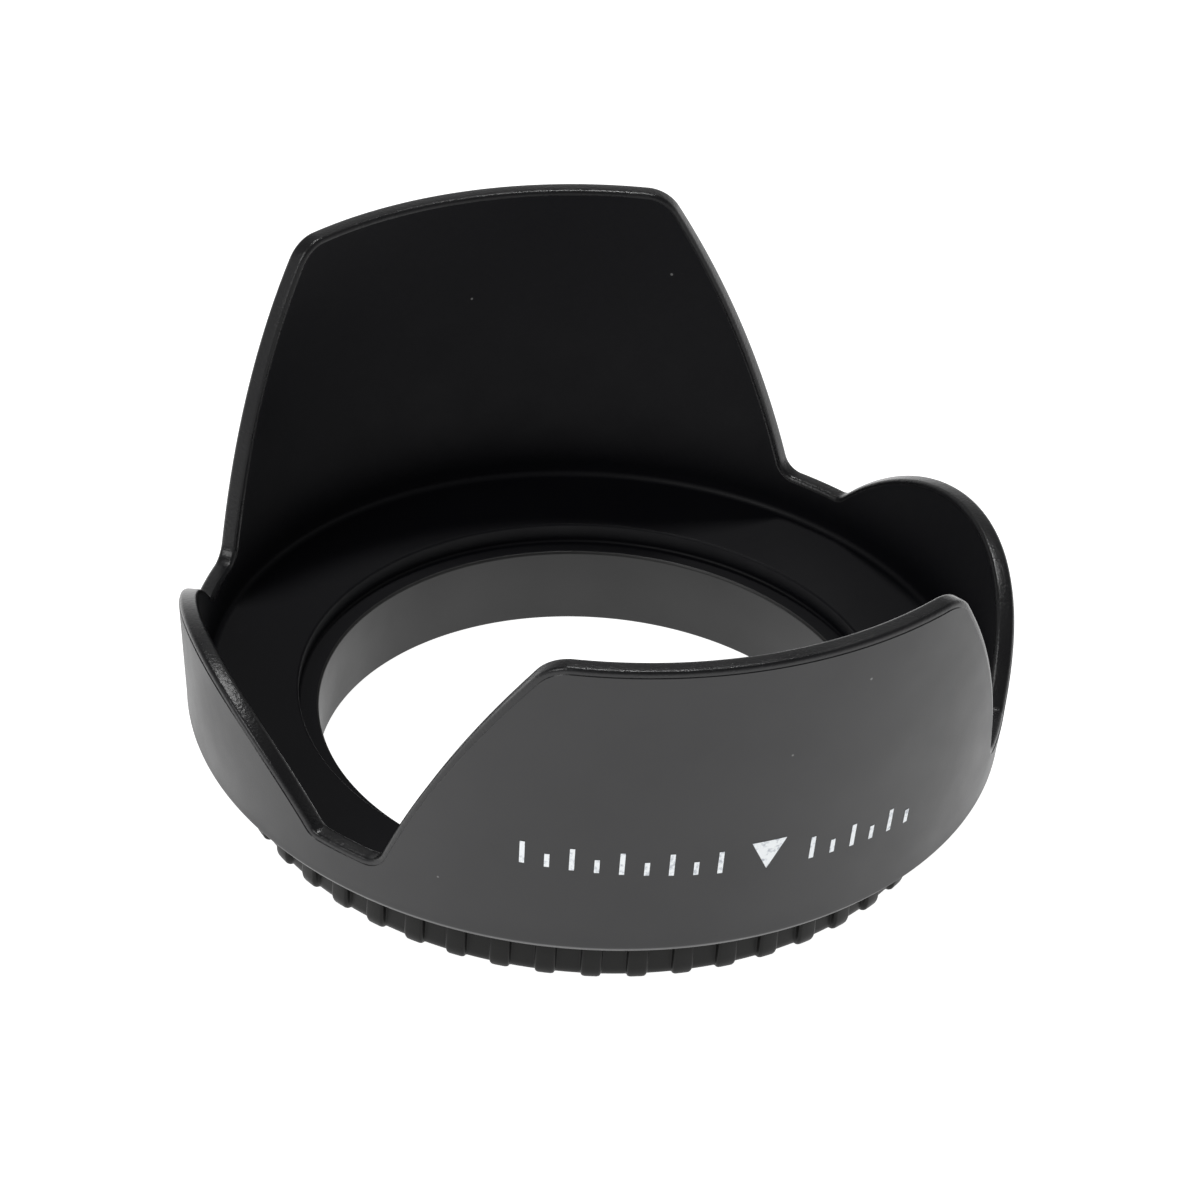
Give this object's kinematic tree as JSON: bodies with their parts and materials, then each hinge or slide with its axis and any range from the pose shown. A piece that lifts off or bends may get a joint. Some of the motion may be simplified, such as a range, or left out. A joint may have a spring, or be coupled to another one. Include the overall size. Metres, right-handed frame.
{
  "type": "lens hood",
  "caption": "Petal lens hood with a screw-in neck and a toothed lock ring that turns on the neck's thread to hold the petals level.",
  "frame": {"origin": "centre of the neck's lower end, on the optical axis", "axes": "+Z along the optical axis, away from the lens; the long petals stand at -Y and +Y, the short ones at -X and +X; the printed index triangle is on the -Y petal"},
  "size_m": [0.0956, 0.0992, 0.0508],
  "materials": {
    "hood_plastic": "satin black moulding with a fine grain, dull inside",
    "ring_plastic": "satin black moulding",
    "white_ink": "pad-printed ink"
  },
  "bodies": {
    "hood": {"petal_hood": "hood_plastic", "index_mark": "white_ink", "print_ticks": "white_ink"},
    "lock_ring": {"lock_ring": "ring_plastic"}
  },
  "joints": [
    {"name": "lock_ring_turn", "type": "hinge", "parent": "hood", "child": "lock_ring", "pos_m": [0, 0, 0.004], "axis": [0, 0, -1], "range_deg": [0, 650]}
  ]
}
